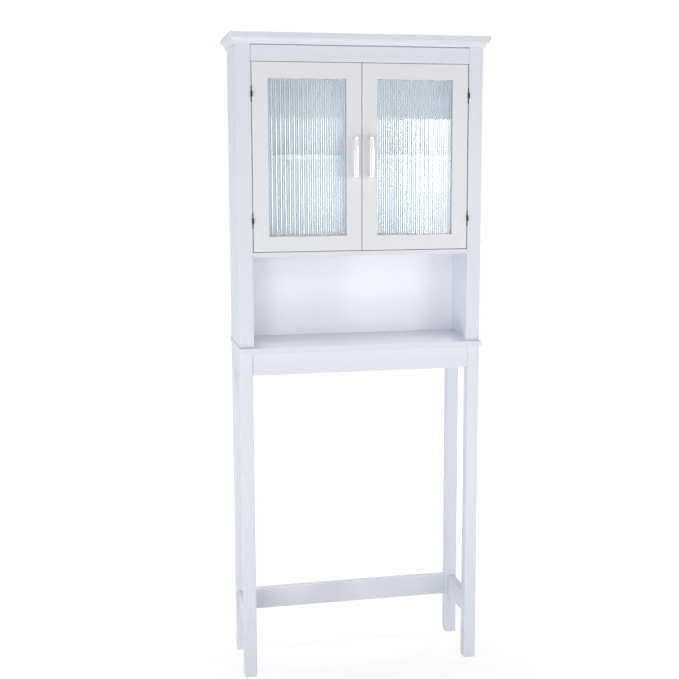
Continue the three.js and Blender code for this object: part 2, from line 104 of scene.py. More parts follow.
def satin_lacquer(name, colour, shade):
    """White acrylic lacquer sprayed on a primed board: an even white with a low sheen, a very
    fine orange peel, and a cloudiness that only shows across a whole board."""
    peel_size = 1.6 * mm
    peel_height = 0.012 * mm
    cloud_size = 240 * mm
    smoothest, roughest = 0.34, 0.46
    material, tree, place = start_material(name)
    clouds = add_node(tree, "ShaderNodeTexNoise", {
        "Vector": place, "Scale": per_size(cloud_size), "Detail": 2.0})
    tone = add_node(tree, "ShaderNodeMix", {
        0: clouds.outputs["Fac"], 6: linear(shade), 7: linear(colour)}, data_type="RGBA")
    peel = add_node(tree, "ShaderNodeTexNoise", {
        "Vector": place, "Scale": per_size(peel_size), "Detail": 3.0, "Roughness": 0.55})
    sheen = add_node(tree, "ShaderNodeMapRange", {
        "Value": peel.outputs["Fac"], "To Min": smoothest, "To Max": roughest})
    bump = add_node(tree, "ShaderNodeBump", {
        "Height": peel.outputs["Fac"], "Distance": peel_height, "Strength": 1.0})
    shader = add_node(tree, "ShaderNodeBsdfPrincipled", {
        "Base Color": tone.outputs[2], "Roughness": sheen.outputs[0],
        "Normal": bump.outputs["Normal"], "IOR": 1.48})
    add_node(tree, "ShaderNodeOutputMaterial", {"Surface": shader.outputs[0]})
    return material


def coat(material, *names):
    """Gives CAD nodes a finish."""
    for name in names:
        for slot in frame["nodes"][name].material_slots:
            slot.material = material


ends = ("front", "rear")
sides = ("left", "right")
# Painted shade: the carcass lacquer is a darker, bluer copy of the door lacquer. It stands in for
# the shade that falls on the carcass faces.
carcass_lacquer_painted_shade = satin_lacquer("satin_lacquer_carcass", "E2E5ED", "E0E3EB")
coat(carcass_lacquer_painted_shade, "ledge_board", "apron_front", "apron_rear", "apron_left", "apron_right",
     "stretcher_rear", "stretcher_left", "stretcher_right",
     *[f"leg_{end}_{side}" for end in ends for side in sides])

# ---------------------------------------------------------------------------------------------
# The feet: a pad of white polypropylene nailed under each leg, so that damp doesn't reach
# the wood. Moulded, with a rounded edge.
# ---------------------------------------------------------------------------------------------


def moulded_plastic(name, colour, shade, roughness):
    """Moulded polypropylene: a soft waxy sheen over a spark-eroded grain, which is drawn
    coarser than the real one so that it shows."""
    grain_size = 0.8 * mm
    grain_height = 0.01 * mm
    material, tree, place = start_material(name)
    grain = add_node(tree, "ShaderNodeTexNoise", {
        "Vector": place, "Scale": per_size(grain_size), "Detail": 2.0})
    tone = add_node(tree, "ShaderNodeMix", {
        0: grain.outputs["Fac"], 6: linear(shade), 7: linear(colour)}, data_type="RGBA")
    bump = add_node(tree, "ShaderNodeBump", {
        "Height": grain.outputs["Fac"], "Distance": grain_height, "Strength": 0.6})
    shader = add_node(tree, "ShaderNodeBsdfPrincipled", {
        "Base Color": tone.outputs[2], "Roughness": roughness, "Normal": bump.outputs["Normal"],
        "IOR": 1.49})
    add_node(tree, "ShaderNodeOutputMaterial", {"Surface": shader.outputs[0]})
    return material


def finish_piece(bm, name, body, slot, material, *replaced, crease=35):
    """Makes a named object of a mesh, smooth but for its creases, riding on a CAD body."""
    bmesh.ops.remove_doubles(bm, verts=bm.verts, dist=0.002 * mm)
    bmesh.ops.recalc_face_normals(bm, faces=bm.faces)
    mesh = bpy.data.meshes.new(name)
    bm.to_mesh(mesh)
    bm.free()
    mesh.shade_smooth()
    mesh.set_sharp_from_angle(angle=math.radians(crease))
    mesh.materials.append(material)
    piece = bpy.data.objects.new(name, mesh)
    bpy.context.scene.collection.objects.link(piece)
    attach(piece, body)
    if replaced:
        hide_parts(*replaced)


def add_block(bm, low, high):
    """Adds a box between two corners and returns its vertices."""
    low, high = Vector(low), Vector(high)
    made = bmesh.ops.create_cube(bm, size=1.0)["verts"]
    bmesh.ops.scale(bm, vec=high - low, verts=made)
    bmesh.ops.translate(bm, vec=(low + high) / 2, verts=made)
    return made


def edges_of(verts, along=None):
    """The edges between these vertices: all of them, or those that run along one axis."""
    verts = set(verts)
    found = {edge for vert in verts for edge in vert.link_edges if edge.other_vert(vert) in verts}
    if along is None:
        return list(found)
    return [edge for edge in found
            if abs((edge.verts[1].co - edge.verts[0].co).normalized()[along]) > 0.99]


def soften(bm, edges, radius, segments=3):
    """Rounds edges, as sanding, moulding or tumbling leaves them."""
    bmesh.ops.bevel(bm, geom=edges, offset=radius, offset_type="OFFSET", affect="EDGES",
                    segments=segments, profile=0.5, material=-1, clamp_overlap=True)


white_plastic = moulded_plastic("moulded_polypropylene_white", "E4E6EA", "DCDFE4",
                                roughness=0.45)
pad_edge = 1.2 * mm
for end in ends:
    for side in sides:
        node = f"foot_{end}_{side}"
        bm = bmesh.new()
        soften(bm, edges_of(add_block(bm, *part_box(node))), pad_edge)
        finish_piece(bm, f"pad_{end}_{side}", "cabinet", "white_plastic", white_plastic, node)

# ---------------------------------------------------------------------------------------------
# The caps over the cam fittings that draw the rails against the legs: thin domed discs of white
# polypropylene, pressed into the holes in the faces that can't be seen from the front.
# ---------------------------------------------------------------------------------------------


def seat_at(bm, verts, centre, facing):
    """Moves a piece drawn at the origin, facing up, to its centre, facing along a direction."""
    turned = Vector(facing).to_track_quat("Z", "Y").to_matrix().to_4x4()
    bmesh.ops.transform(bm, matrix=Matrix.Translation(centre) @ turned, verts=verts)


def add_dome(bm, centre, facing, radius, rise, lip, segments=24):
    """Adds a domed disc with a rounded lip, seated at centre and facing along a direction."""
    rings = 4
    before = set(bm.verts)
    verts = bmesh.ops.create_circle(bm, cap_ends=False, radius=radius, segments=segments)["verts"]
    rim = edges_of(verts)
    for ring in range(1, rings + 1):
        turn = ring / rings * math.pi / 2
        grown = bmesh.ops.extrude_edge_only(bm, edges=rim)["geom"]
        ring_verts = [item for item in grown if isinstance(item, bmesh.types.BMVert)]
        rim = edges_of(ring_verts)
        reach = radius - lip + lip * math.cos(turn)
        for vert in ring_verts:
            flat = Vector((vert.co.x, vert.co.y, 0)).normalized() * reach
            vert.co = (flat.x, flat.y, lip * math.sin(turn))
    top = bmesh.ops.contextual_create(bm, geom=rim)["faces"]
    middle = bmesh.ops.poke(bm, faces=top)["verts"]
    bmesh.ops.translate(bm, vec=(0, 0, rise - lip), verts=middle)
    bmesh.ops.contextual_create(bm, geom=edges_of(verts))
    seat_at(bm, [vert for vert in bm.verts if vert not in before], centre, facing)


cap_radius = 8.5 * mm
cap_rise = 1.1 * mm
cap_lip = 0.8 * mm
cap_from_end = 34 * mm
bm = bmesh.new()
for node, face, facing in (("apron_front", 1, (0, 1, 0)), ("apron_rear", 0, (0, -1, 0)),
                           ("stretcher_rear", 1, (0, 1, 0))):
    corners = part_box(node)
    height = (corners[0][2] + corners[1][2]) / 2
    for x in (corners[0][0] + cap_from_end, corners[1][0] - cap_from_end):
        add_dome(bm, (x, corners[face][1], height), facing, cap_radius, cap_rise, cap_lip)
finish_piece(bm, "cam_caps", "cabinet", "white_plastic", white_plastic)

# ---------------------------------------------------------------------------------------------
# The carcass: posts, side panels, top rail, top panel and the divider over the open shelf,
# all lacquered MDF, with a thin white-faced hardboard back let into the side panels.
# ---------------------------------------------------------------------------------------------


def white_hardboard(name, colour, shade):
    """Hardboard with a white printed face: smooth, a little glossier than the lacquer, with
    the faintest mottle of the pressed fibre under it."""
    fibre_size = 5 * mm
    fibre_height = 0.02 * mm
    material, tree, place = start_material(name)
    fibre = add_node(tree, "ShaderNodeTexNoise", {
        "Vector": place, "Scale": per_size(fibre_size), "Detail": 4.0, "Roughness": 0.6})
    tone = add_node(tree, "ShaderNodeMix", {
        0: fibre.outputs["Fac"], 6: linear(shade), 7: linear(colour)}, data_type="RGBA")
    bump = add_node(tree, "ShaderNodeBump", {
        "Height": fibre.outputs["Fac"], "Distance": fibre_height, "Strength": 1.0})
    shader = add_node(tree, "ShaderNodeBsdfPrincipled", {
        "Base Color": tone.outputs[2], "Roughness": 0.33, "Normal": bump.outputs["Normal"],
        "IOR": 1.5})
    add_node(tree, "ShaderNodeOutputMaterial", {"Surface": shader.outputs[0]})
    return material


coat(carcass_lacquer_painted_shade, "post_left", "post_right", "side_panel_left", "side_panel_right",
     "top_rail", "top_panel", "divider_shelf")
coat(white_hardboard("white_faced_hardboard", "F6F7FA", "F4F5F9"), "back_panel")

# ---------------------------------------------------------------------------------------------
# The panel pins that hold the back: small round zinc-plated steel heads, driven every hand's
# width into the side panels, the top panel and the divider shelf.
# ---------------------------------------------------------------------------------------------


def plated_metal(name, colour, roughness, streak):
    """Plated metal: its own colour in every reflection, a little uneven in its polish."""
    streak_size = 2.5 * mm
    material, tree, place = start_material(name)
    polish = add_node(tree, "ShaderNodeTexNoise", {
        "Vector": place, "Scale": per_size(streak_size), "Detail": 3.0})
    gloss = add_node(tree, "ShaderNodeMapRange", {
        "Value": polish.outputs["Fac"], "To Min": roughness, "To Max": roughness + streak})
    shader = add_node(tree, "ShaderNodeBsdfPrincipled", {
        "Base Color": linear(colour), "Metallic": 1.0, "Roughness": gloss.outputs[0]})
    add_node(tree, "ShaderNodeOutputMaterial", {"Surface": shader.outputs[0]})
    return material


def spread(first, last, pitch):
    """Places from first to last, evenly apart and no further apart than the pitch."""
    steps = math.ceil((last - first) / pitch)
    return [first + (last - first) * step / steps for step in range(steps + 1)]


zinc = plated_metal("zinc_plated_steel", "C9CCD0", roughness=0.28, streak=0.12)
pin_head = 1.7 * mm
pin_rise = 0.5 * mm
pin_lip = 0.3 * mm
pin_pitch = 110 * mm
pin_inset = 3.5 * mm
upright_margin = 30 * mm
level_margin = 60 * mm
top_row_inset = 6 * mm
back_low, back_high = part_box("back_panel")
divider_low, divider_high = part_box("divider_shelf")
top_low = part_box("top_panel")[0]
bm = bmesh.new()
upright_rows = [(x, z) for x in (back_low[0] + pin_inset, back_high[0] - pin_inset)
                for z in spread(back_low[2] + upright_margin, back_high[2] - upright_margin,
                                pin_pitch)]
level_rows = [(x, z) for z in ((divider_low[2] + divider_high[2]) / 2, top_low[2] + top_row_inset)
              for x in spread(back_low[0] + level_margin, back_high[0] - level_margin, pin_pitch)]
for x, z in upright_rows + level_rows:
    add_dome(bm, (x, back_high[1], z), (0, 1, 0), pin_head, pin_rise, pin_lip, segments=12)
finish_piece(bm, "panel_pins", "cabinet", "zinc_steel", zinc)

# ---------------------------------------------------------------------------------------------
# The crown: a thin slab with a cove moulding under it on three sides, mitred at the corners,
# glued and pinned. Lacquered MDF.
# ---------------------------------------------------------------------------------------------

coat(carcass_lacquer_painted_shade, "crown_slab", "crown_moulding_front", "crown_moulding_left",
     "crown_moulding_right")

# ---------------------------------------------------------------------------------------------
# The shelf inside the cupboard, lying on four zinc-plated spoon pins: a round peg pushed into
# the side panel, and a pressed plate with rounded corners that the shelf rests on.
# ---------------------------------------------------------------------------------------------


def add_rod(bm, centre, axis, radius, length, ease):
    """Adds a round bar with eased ends, its middle at centre and its length along an axis."""
    made = bmesh.ops.create_cone(bm, cap_ends=True, segments=24, radius1=radius,
                                 radius2=radius, depth=length)["verts"]
    seat_at(bm, made, centre, axis)
    axis = Vector(axis).normalized()
    rims = [edge for edge in edges_of(made)
            if abs((edge.verts[1].co - edge.verts[0].co).normalized().dot(axis)) < 0.5]
    soften(bm, rims, ease, segments=2)


def level_with(place, other):
    """Whether two places along an axis are the same, to a hundredth of a millimetre."""
    return abs(place - other) < 0.01 * mm


coat(carcass_lacquer_painted_shade, "inner_shelf")
panel_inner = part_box("side_panel_right")[0][0]
peg_radius = 2.4 * mm
peg_ease = 0.5 * mm
peg_below_top = 2 * mm
spoon_thickness = 1.6 * mm
spoon_corner = 3 * mm
spoon_play = 0.3 * mm
for end in ends:
    for side, sign in zip(sides, (-1, 1)):
        node = f"shelf_pin_{end}_{side}"
        low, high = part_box(node)
        wall = sign * (panel_inner - spoon_play)
        tip = low[0] if side == "right" else high[0]
        far = high[0] if side == "right" else low[0]
        y = (low[1] + high[1]) / 2
        peg_z = high[2] - peg_below_top - peg_radius
        bm = bmesh.new()
        xs = sorted((tip, wall))
        tray = add_block(bm, (xs[0], low[1], high[2] - spoon_thickness), (xs[1], high[1], high[2]))
        tray_corners = [edge for edge in edges_of(tray, along=2)
                        if level_with(edge.verts[0].co.x, tip)]
        soften(bm, tray_corners, spoon_corner, segments=5)
        cheek_xs = sorted((wall, wall - sign * spoon_thickness))
        cheek = add_block(bm, (cheek_xs[0], low[1], low[2]), (cheek_xs[1], high[1], high[2]))
        cheek_corners = [edge for edge in edges_of(cheek, along=0)
                         if level_with(edge.verts[0].co.z, low[2])]
        soften(bm, cheek_corners, spoon_corner, segments=5)
        add_rod(bm, ((wall + far) / 2, y, peg_z), (1, 0, 0), peg_radius, abs(far - wall), peg_ease)
        finish_piece(bm, f"spoon_pin_{end}_{side}", "cabinet", "zinc_steel", zinc, node)

# ---------------------------------------------------------------------------------------------
# The magnet catch behind the top rail: a white polypropylene housing, two magnets between steel
# pole plates that show in front of it, and two screws that hold it to the rail.
# ---------------------------------------------------------------------------------------------


def add_screw(bm, centre, facing, radius, rise):
    """Adds a cross-slot screw head, seated at centre and facing along a direction."""
    cross_reach = 0.6 * radius
    arm = 0.13 * radius
    slot_depth = 0.45 * radius
    slot_taper = 0.75
    before = set(bm.verts)
    cells = bmesh.ops.create_grid(bm, x_segments=5, y_segments=5, size=cross_reach)["verts"]
    faces = {face for vert in cells for face in vert.link_faces}
    slot = [face for face in faces if min(abs(face.calc_center_median().x),
                                          abs(face.calc_center_median().y)) < arm]
    rim = [edge for edge in edges_of(cells) if edge.is_boundary]
    grown = bmesh.ops.extrude_edge_only(bm, edges=rim)["geom"]
    outer = [item for item in grown if isinstance(item, bmesh.types.BMVert)]
    for vert in outer:
        vert.co = vert.co.normalized() * radius
    for vert in [vert for vert in bm.verts if vert not in before]:
        vert.co.z = rise * (1 - (vert.co.length / radius) ** 2)
    sunk = bmesh.ops.extrude_face_region(bm, geom=slot)["geom"]
    bmesh.ops.delete(bm, geom=slot, context="FACES_ONLY")
    floor_verts = [item for item in sunk if isinstance(item, bmesh.types.BMVert)]
    bmesh.ops.translate(bm, vec=(0, 0, -slot_depth), verts=floor_verts)
    bmesh.ops.scale(bm, vec=(slot_taper, slot_taper, 1), verts=floor_verts)
    bmesh.ops.holes_fill(bm, edges=edges_of(outer))
    seat_at(bm, [vert for vert in bm.verts if vert not in before], centre, facing)


catch_low, catch_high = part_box("magnet_catch")
rail_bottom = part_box("top_rail")[0][2]
housing_edge = 1.2 * mm
bm = bmesh.new()
soften(bm, edges_of(add_block(bm, catch_low, catch_high)), housing_edge)
finish_piece(bm, "catch_housing", "cabinet", "white_plastic", white_plastic, "magnet_catch")

pole_thickness = 1.2 * mm
pole_proud = 0.4 * mm
pole_sunk = 1 * mm
pole_spread = 5 * mm
pole_edge = 0.2 * mm
pole_low = catch_low[2] + 2 * mm
pole_high = rail_bottom - 1.5 * mm
bm = bmesh.new()
for side in sides:
    strike_low, strike_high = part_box(f"door_{side}_strike_plate")
    middle = (strike_low[0] + strike_high[0]) / 2
    for offset in (-pole_spread, pole_spread):
        pole = add_block(
            bm, (middle + offset - pole_thickness / 2, catch_low[1] - pole_proud, pole_low),
            (middle + offset + pole_thickness / 2, catch_low[1] + pole_sunk, pole_high))
        soften(bm, edges_of(pole), pole_edge, segments=2)
finish_piece(bm, "catch_poles", "cabinet", "zinc_steel", zinc)

catch_screw = 3.2 * mm
catch_screw_rise = 1 * mm
catch_screw_spread = 15 * mm
catch_screw_z = catch_high[2] - 6 * mm
bm = bmesh.new()
for x in (-catch_screw_spread, catch_screw_spread):
    add_screw(bm, (x, catch_high[1], catch_screw_z), (0, 1, 0), catch_screw, catch_screw_rise)
finish_piece(bm, "catch_screws", "cabinet", "zinc_steel", zinc)

# ---------------------------------------------------------------------------------------------
# The doors: two stiles and two rails of lacquered MDF, dowelled and glued, the joints filled
# before the lacquer so that only a hairline shows, and a bead pinned in behind the glass.
# ---------------------------------------------------------------------------------------------

# The doors take the lighter copy of the same lacquer. The darker, bluer carcass copy is painted
# shade.
door_lacquer = satin_lacquer("satin_lacquer_doors", "E7E8EB", "E5E6E9")
hairline = 0.12 * mm
for side in sides:
    coat(door_lacquer, *[f"door_{side}_{member}" for member in (
        "hinge_stile", "meeting_stile", "top_rail", "bottom_rail", "glass_bead")])
    bm = bmesh.new()
    for rail in ("top_rail", "bottom_rail"):
        rail_low, rail_high = (Vector(corner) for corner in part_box(f"door_{side}_{rail}"))
        for stile in ("hinge_stile", "meeting_stile"):
            stile_low, stile_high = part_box(f"door_{side}_{stile}")
            if stile_high[0] <= rail_low.x:
                xs = (stile_high[0], rail_low.x)
            else:
                xs = (rail_high.x, stile_low[0])
            add_block(bm, (xs[0], rail_low.y + hairline, rail_low.z + hairline),
                      (xs[1], rail_high.y - hairline, rail_high.z - hairline))
    finish_piece(bm, f"door_{side}_joint_filler", f"door_{side}", "white_paint", door_lacquer)

# ---------------------------------------------------------------------------------------------
# The panes: rolled soda-lime glass, 4 mm thick. The back is pressed in round reeds, with every
# second groove between them a little deeper, and the front keeps the faint waves of the roller.
# ---------------------------------------------------------------------------------------------


def reeded_glass(name, tint, tint_through):
    """Clear glass with a pale sea-blue tint and the slight unevenness that rolling leaves.
    Rays from lamps and from matt surfaces pass straight through, so that the cupboard is lit
    inside."""
    wave_size = 60 * mm
    wave_rise = 0.05 * mm
    material, tree, place = start_material(name)
    wave = add_node(tree, "ShaderNodeTexNoise", {
        "Vector": place, "Scale": per_size(wave_size), "Detail": 1.0})
    bump = add_node(tree, "ShaderNodeBump", {
        "Height": wave.outputs["Fac"], "Distance": wave_rise, "Strength": 1.0})
    glass = add_node(tree, "ShaderNodeBsdfPrincipled", {
        "Base Color": linear(tint), "Roughness": 0.0, "IOR": 1.52, "Transmission Weight": 1.0,
        "Normal": bump.outputs["Normal"]})
    clear = add_node(tree, "ShaderNodeBsdfTransparent", {"Color": linear(tint_through)})
    path = add_node(tree, "ShaderNodeLightPath")
    through = add_node(tree, "ShaderNodeMath", {
        0: path.outputs["Is Shadow Ray"], 1: path.outputs["Is Diffuse Ray"]},
        operation="MAXIMUM")
    mixed = add_node(tree, "ShaderNodeMixShader", {
        0: through.outputs[0], 1: glass.outputs[0], 2: clear.outputs[0]})
    add_node(tree, "ShaderNodeOutputMaterial", {"Surface": mixed.outputs[0]})
    return material


glass = reeded_glass("reeded_soda_lime_glass", "F2FBFE", "FCFEFF")
pair_pitch = 11.65 * mm
groove_depth = 1.56 * mm
deeper_by = 0.2 * mm
roller_wave = 0.076 * mm
steps_a_pair = 24
step = pair_pitch / steps_a_pair
for side in sides:
    node = f"door_{side}_glass"
    low, high = (Vector(corner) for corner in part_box(node))
    middle = (low.x + high.x) / 2
    bm = bmesh.new()
    add_block(bm, low, high)
    last_cut = math.ceil((high.x - middle) / step) - 1
    for cut in range(-last_cut, last_cut + 1):
        bmesh.ops.bisect_plane(bm, geom=bm.verts[:] + bm.edges[:] + bm.faces[:],
                               plane_co=(middle + cut * step, 0, 0), plane_no=(1, 0, 0))
    for vert in bm.verts:
        turn = (vert.co.x - middle) / pair_pitch * 2 * math.pi
        if vert.co.y > (low.y + high.y) / 2:
            vert.co.y = (high.y - groove_depth * (1 + math.cos(2 * turn)) / 2
                         - deeper_by * (1 + math.cos(turn)) / 2)
        else:
            vert.co.y = low.y + roller_wave * (1 + math.cos(turn)) / 2
    finish_piece(bm, f"pane_{side}", f"door_{side}", "fluted_glass", glass, node, crease=25)

# ---------------------------------------------------------------------------------------------
# The handles: die-cast zinc bar pulls, polished and plated with bright chrome, each held by two
# pan-head screws from behind the meeting stile.
# ---------------------------------------------------------------------------------------------

chrome = plated_metal("bright_chrome_plate", "E6E7EA", roughness=0.08, streak=0.04)
foot_length = 9 * mm
bar_thickness = 5 * mm
outer_radius = 2.5 * mm
throat_radius = 7 * mm
edge_ease = 1.1 * mm
pan_head = 3.6 * mm
pan_head_rise = 2 * mm


def round_corners(bm, verts, radius, segments):
    """Rounds some corners of a flat outline."""
    bmesh.ops.bevel(bm, geom=verts, offset=radius, offset_type="OFFSET", affect="VERTICES",
                    segments=segments, profile=0.5, material=-1)


for side in sides:
    node = f"door_{side}_handle"
    low, high = (Vector(corner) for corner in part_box(node))
    front, back = low.y, high.y
    throat = front + bar_thickness
    bm = bmesh.new()
    side_view = [(back, low.z), (front, low.z), (front, high.z), (back, high.z),
                 (back, high.z - foot_length), (throat, high.z - foot_length),
                 (throat, low.z + foot_length), (back, low.z + foot_length)]
    corners = [bm.verts.new((low.x, y, z)) for y, z in side_view]
    face = bm.faces.new(corners)
    round_corners(bm, corners[1:3], outer_radius, segments=6)
    round_corners(bm, corners[5:7], throat_radius, segments=10)
    grown = bmesh.ops.extrude_face_region(bm, geom=bm.faces[:])["geom"]
    moved = [item for item in grown if isinstance(item, bmesh.types.BMVert)]
    bmesh.ops.translate(bm, vec=(high.x - low.x, 0, 0), verts=moved)
    seat = [edge for edge in bm.edges if all(level_with(vert.co.y, back) for vert in edge.verts)]
    outline_edges = [edge for edge in bm.edges if edge not in seat
                     and level_with(edge.verts[0].co.x, edge.verts[1].co.x)]
    soften(bm, outline_edges, edge_ease, segments=4)
    finish_piece(bm, f"bar_pull_{side}", f"door_{side}", "polished_chrome", chrome, node)

    door_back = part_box(f"door_{side}_meeting_stile")[1][1]
    bm = bmesh.new()
    for z in (low.z + foot_length / 2, high.z - foot_length / 2):
        add_screw(bm, ((low.x + high.x) / 2, door_back, z), (0, 1, 0), pan_head, pan_head_rise)
    finish_piece(bm, f"handle_screws_{side}", f"door_{side}", "zinc_steel", zinc)

# ---------------------------------------------------------------------------------------------
# The strike plates on the backs of the doors: pressed zinc-plated steel with rounded corners,
# each held by one countersunk screw.
# ---------------------------------------------------------------------------------------------

strike_corner = 2 * mm
strike_screw = 2.6 * mm
strike_screw_rise = 0.35 * mm
for side in sides:
    node = f"door_{side}_strike_plate"
    low, high = (Vector(corner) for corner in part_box(node))
    bm = bmesh.new()
    plate = add_block(bm, low, high)
    soften(bm, edges_of(plate, along=1), strike_corner, segments=4)
    add_screw(bm, ((low.x + high.x) / 2, high.y, (low.z + high.z) / 2), (0, 1, 0),
              strike_screw, strike_screw_rise)
    finish_piece(bm, f"strike_{side}", f"door_{side}", "zinc_steel", zinc, node)

# ---------------------------------------------------------------------------------------------
# The hinges: butt hinges rolled from steel strip and plated black nickel. The middle knuckle and
# the pin belong to the leaf on the post, the two outer knuckles to the leaf on the door.
# ---------------------------------------------------------------------------------------------

black_nickel = plated_metal("black_nickel_plate", "3A3C40", roughness=0.3, streak=0.1)
barrel_radius = 2.7 * mm
barrel_height = 14 * mm
pin_tip = 1.6 * mm
pin_tip_rise = 0.5 * mm
pin_tip_lip = 0.35 * mm
knuckle_gap = 0.3 * mm
knuckle_ease = 0.35 * mm
leaf_thickness = 0.9 * mm
leaf_play = 0.15 * mm
leaf_corner = 3 * mm
leaf_screw = 2.4 * mm
leaf_screw_rise = 0.12 * mm
leaf_screw_spread = 12.5 * mm
leaf_screw_set_back = 1 * mm
strip_overlap = 1 * mm
strip_inset = 0.02 * mm


def add_leaf(bm, face_x, towards, knuckles, barrel_x, barrel_y, plate):
    """Adds one leaf: its plate in the gap, with two screws, and its rolled knuckles, each
    joined to the plate by a strip."""
    (front_y, low_z), (back_y, high_z) = plate
    open_x = face_x + towards * leaf_thickness
    xs = sorted((face_x, open_x))
    verts = add_block(bm, (xs[0], front_y, low_z), (xs[1], back_y, high_z))
    back_corners = [edge for edge in edges_of(verts, along=0)
                    if level_with(edge.verts[0].co.y, back_y)]
    soften(bm, back_corners, leaf_corner, segments=5)
    for bottom, top in knuckles:
        add_block(bm, (xs[0], barrel_y, bottom + strip_inset),
                  (xs[1], front_y + strip_overlap, top - strip_inset))
        add_rod(bm, (barrel_x, barrel_y, (bottom + top) / 2), (0, 0, 1), barrel_radius,
                top - bottom, knuckle_ease)
    screw_y = (front_y + back_y) / 2 + leaf_screw_set_back
    for offset in (-leaf_screw_spread, leaf_screw_spread):
        add_screw(bm, (open_x, screw_y, (low_z + high_z) / 2 + offset), (towards, 0, 0),
                  leaf_screw, leaf_screw_rise)


for side, sign in zip(sides, (-1, 1)):
    joint = next(joint for joint in frame["joints"] if joint["name"] == f"door_{side}_swing")
    pivot_x, pivot_y = joint["pos_m"][:2]
    inner_corner, outer_corner = (0, 1) if side == "right" else (1, 0)
    post_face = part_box(f"post_{side}")[inner_corner][0] - sign * leaf_play
    door_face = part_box(f"door_{side}_hinge_stile")[outer_corner][0] + sign * leaf_play
    for level in ("lower", "upper"):
        post_node = f"hinge_{level}_{side}_post_leaf"
        door_node = f"hinge_{level}_{side}_door_leaf"
        low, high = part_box(door_node)
        plate_front = pivot_y + barrel_radius + knuckle_gap
        plate = ((plate_front, low[2]), (high[1], high[2]))
        middle = (low[2] + high[2]) / 2
        half_barrel = barrel_height / 2
        half_knuckle = barrel_height / 6
        inner_knuckle = [(middle - half_knuckle, middle + half_knuckle)]
        outer_knuckles = [(middle - half_barrel, middle - half_knuckle - knuckle_gap),
                          (middle + half_knuckle + knuckle_gap, middle + half_barrel)]
        bm = bmesh.new()
        add_leaf(bm, post_face, -sign, inner_knuckle, pivot_x, pivot_y, plate)
        for end_sign in (-1, 1):
            add_dome(bm, (pivot_x, pivot_y, middle + end_sign * half_barrel), (0, 0, end_sign),
                     pin_tip, pin_tip_rise, pin_tip_lip, segments=16)
        finish_piece(bm, f"hinge_{level}_{side}_post", "cabinet", "nickel_plate", black_nickel,
                     post_node)
        bm = bmesh.new()
        add_leaf(bm, door_face, sign, outer_knuckles, pivot_x, pivot_y, plate)
        finish_piece(bm, f"hinge_{level}_{side}_door", f"door_{side}", "nickel_plate", black_nickel,
                     door_node)

# ---------------------------------------------------------------------------------------------
# The camera: on a tripod a little to the left of the rack, above its middle, and tilted down.
# ---------------------------------------------------------------------------------------------

scene = bpy.context.scene
scene.view_settings.view_transform = "Standard"

camera_data = bpy.data.cameras.new("camera")
camera_data.sensor_width = 36.0
camera_data.lens = 61.15
camera_data.shift_x = -0.0113
camera_data.shift_y = -0.0287
camera_place = (-0.6539, -3.0391, 1.3835)
yaw, pitch, roll = math.radians(11.779), math.radians(7.923), math.radians(-0.13)
camera = bpy.data.objects.new("camera", camera_data)
aimed = Matrix.Rotation(-yaw, 4, "Z") @ Matrix.Rotation(math.pi / 2 - pitch, 4, "X")
camera.matrix_world = (Matrix.Translation(camera_place) @ aimed
                       @ Matrix.Rotation(roll, 4, "Z"))
scene.collection.objects.link(camera)
scene.camera = camera

# ---------------------------------------------------------------------------------------------
# The floor: white studio vinyl that runs out of sight on all sides. To the eye it is as white
# as the air behind it, but for the rack's soft shadow. To the rack it is a matt white.
# ---------------------------------------------------------------------------------------------


def rays_that_see(tree):
    """1 for rays from the camera, off gloss or through glass, and 0 for rays that bring light."""
    path = add_node(tree, "ShaderNodeLightPath")
    glossy = add_node(tree, "ShaderNodeMath", {
        0: path.outputs["Is Camera Ray"], 1: path.outputs["Is Glossy Ray"]}, operation="MAXIMUM")
    seen = add_node(tree, "ShaderNodeMath", {
        0: glossy.outputs[0], 1: path.outputs["Is Transmission Ray"]}, operation="MAXIMUM")
    return seen.outputs[0]


def studio_vinyl(name):
    """White floor vinyl. It glows a little less near the rack, where the lamps add their light
    and the rack its shadow, and reaches full white where the lamps fade."""
    near, far = 0.4, 1.8
    near_glow, far_glow = 0.76, 1.0
    material, tree, place = start_material(name)
    seen = rays_that_see(tree)
    reach = add_node(tree, "ShaderNodeVectorMath", {0: place}, operation="LENGTH")
    strength = add_node(tree, "ShaderNodeMapRange", {
        "Value": reach.outputs["Value"], "From Min": near, "From Max": far,
        "To Min": near_glow, "To Max": far_glow}, interpolation_type="SMOOTHSTEP")
    glow = add_node(tree, "ShaderNodeEmission", {
        "Color": linear("FFFFFF"), "Strength": strength.outputs["Result"]})
    shadowed = add_node(tree, "ShaderNodeBsdfDiffuse", {"Color": linear("A2A2A2")})
    looked_at = add_node(tree, "ShaderNodeAddShader", {0: glow.outputs[0], 1: shadowed.outputs[0]})
    matt = add_node(tree, "ShaderNodeBsdfDiffuse", {"Color": linear("F0F0F0")})
    surface = add_node(tree, "ShaderNodeMixShader", {
        0: seen, 1: matt.outputs[0], 2: looked_at.outputs[0]})
    add_node(tree, "ShaderNodeOutputMaterial", {"Surface": surface.outputs[0]})
    return material


bm = bmesh.new()
bmesh.ops.create_grid(bm, x_segments=1, y_segments=1, size=15.0)
bmesh.ops.translate(bm, vec=(0, 0, cad_box[0][2]), verts=bm.verts)
floor_mesh = bpy.data.meshes.new("floor")
bm.to_mesh(floor_mesh)
bm.free()
floor_mesh.materials.append(studio_vinyl("white_studio_floor"))
floor = bpy.data.objects.new("floor", floor_mesh)
scene.collection.objects.link(floor)

# ---------------------------------------------------------------------------------------------
# The air of the studio: white to the eye, in gloss and through glass, and to matt surfaces a
# dim, slightly cool light from all round, as white walls would give.
# ---------------------------------------------------------------------------------------------

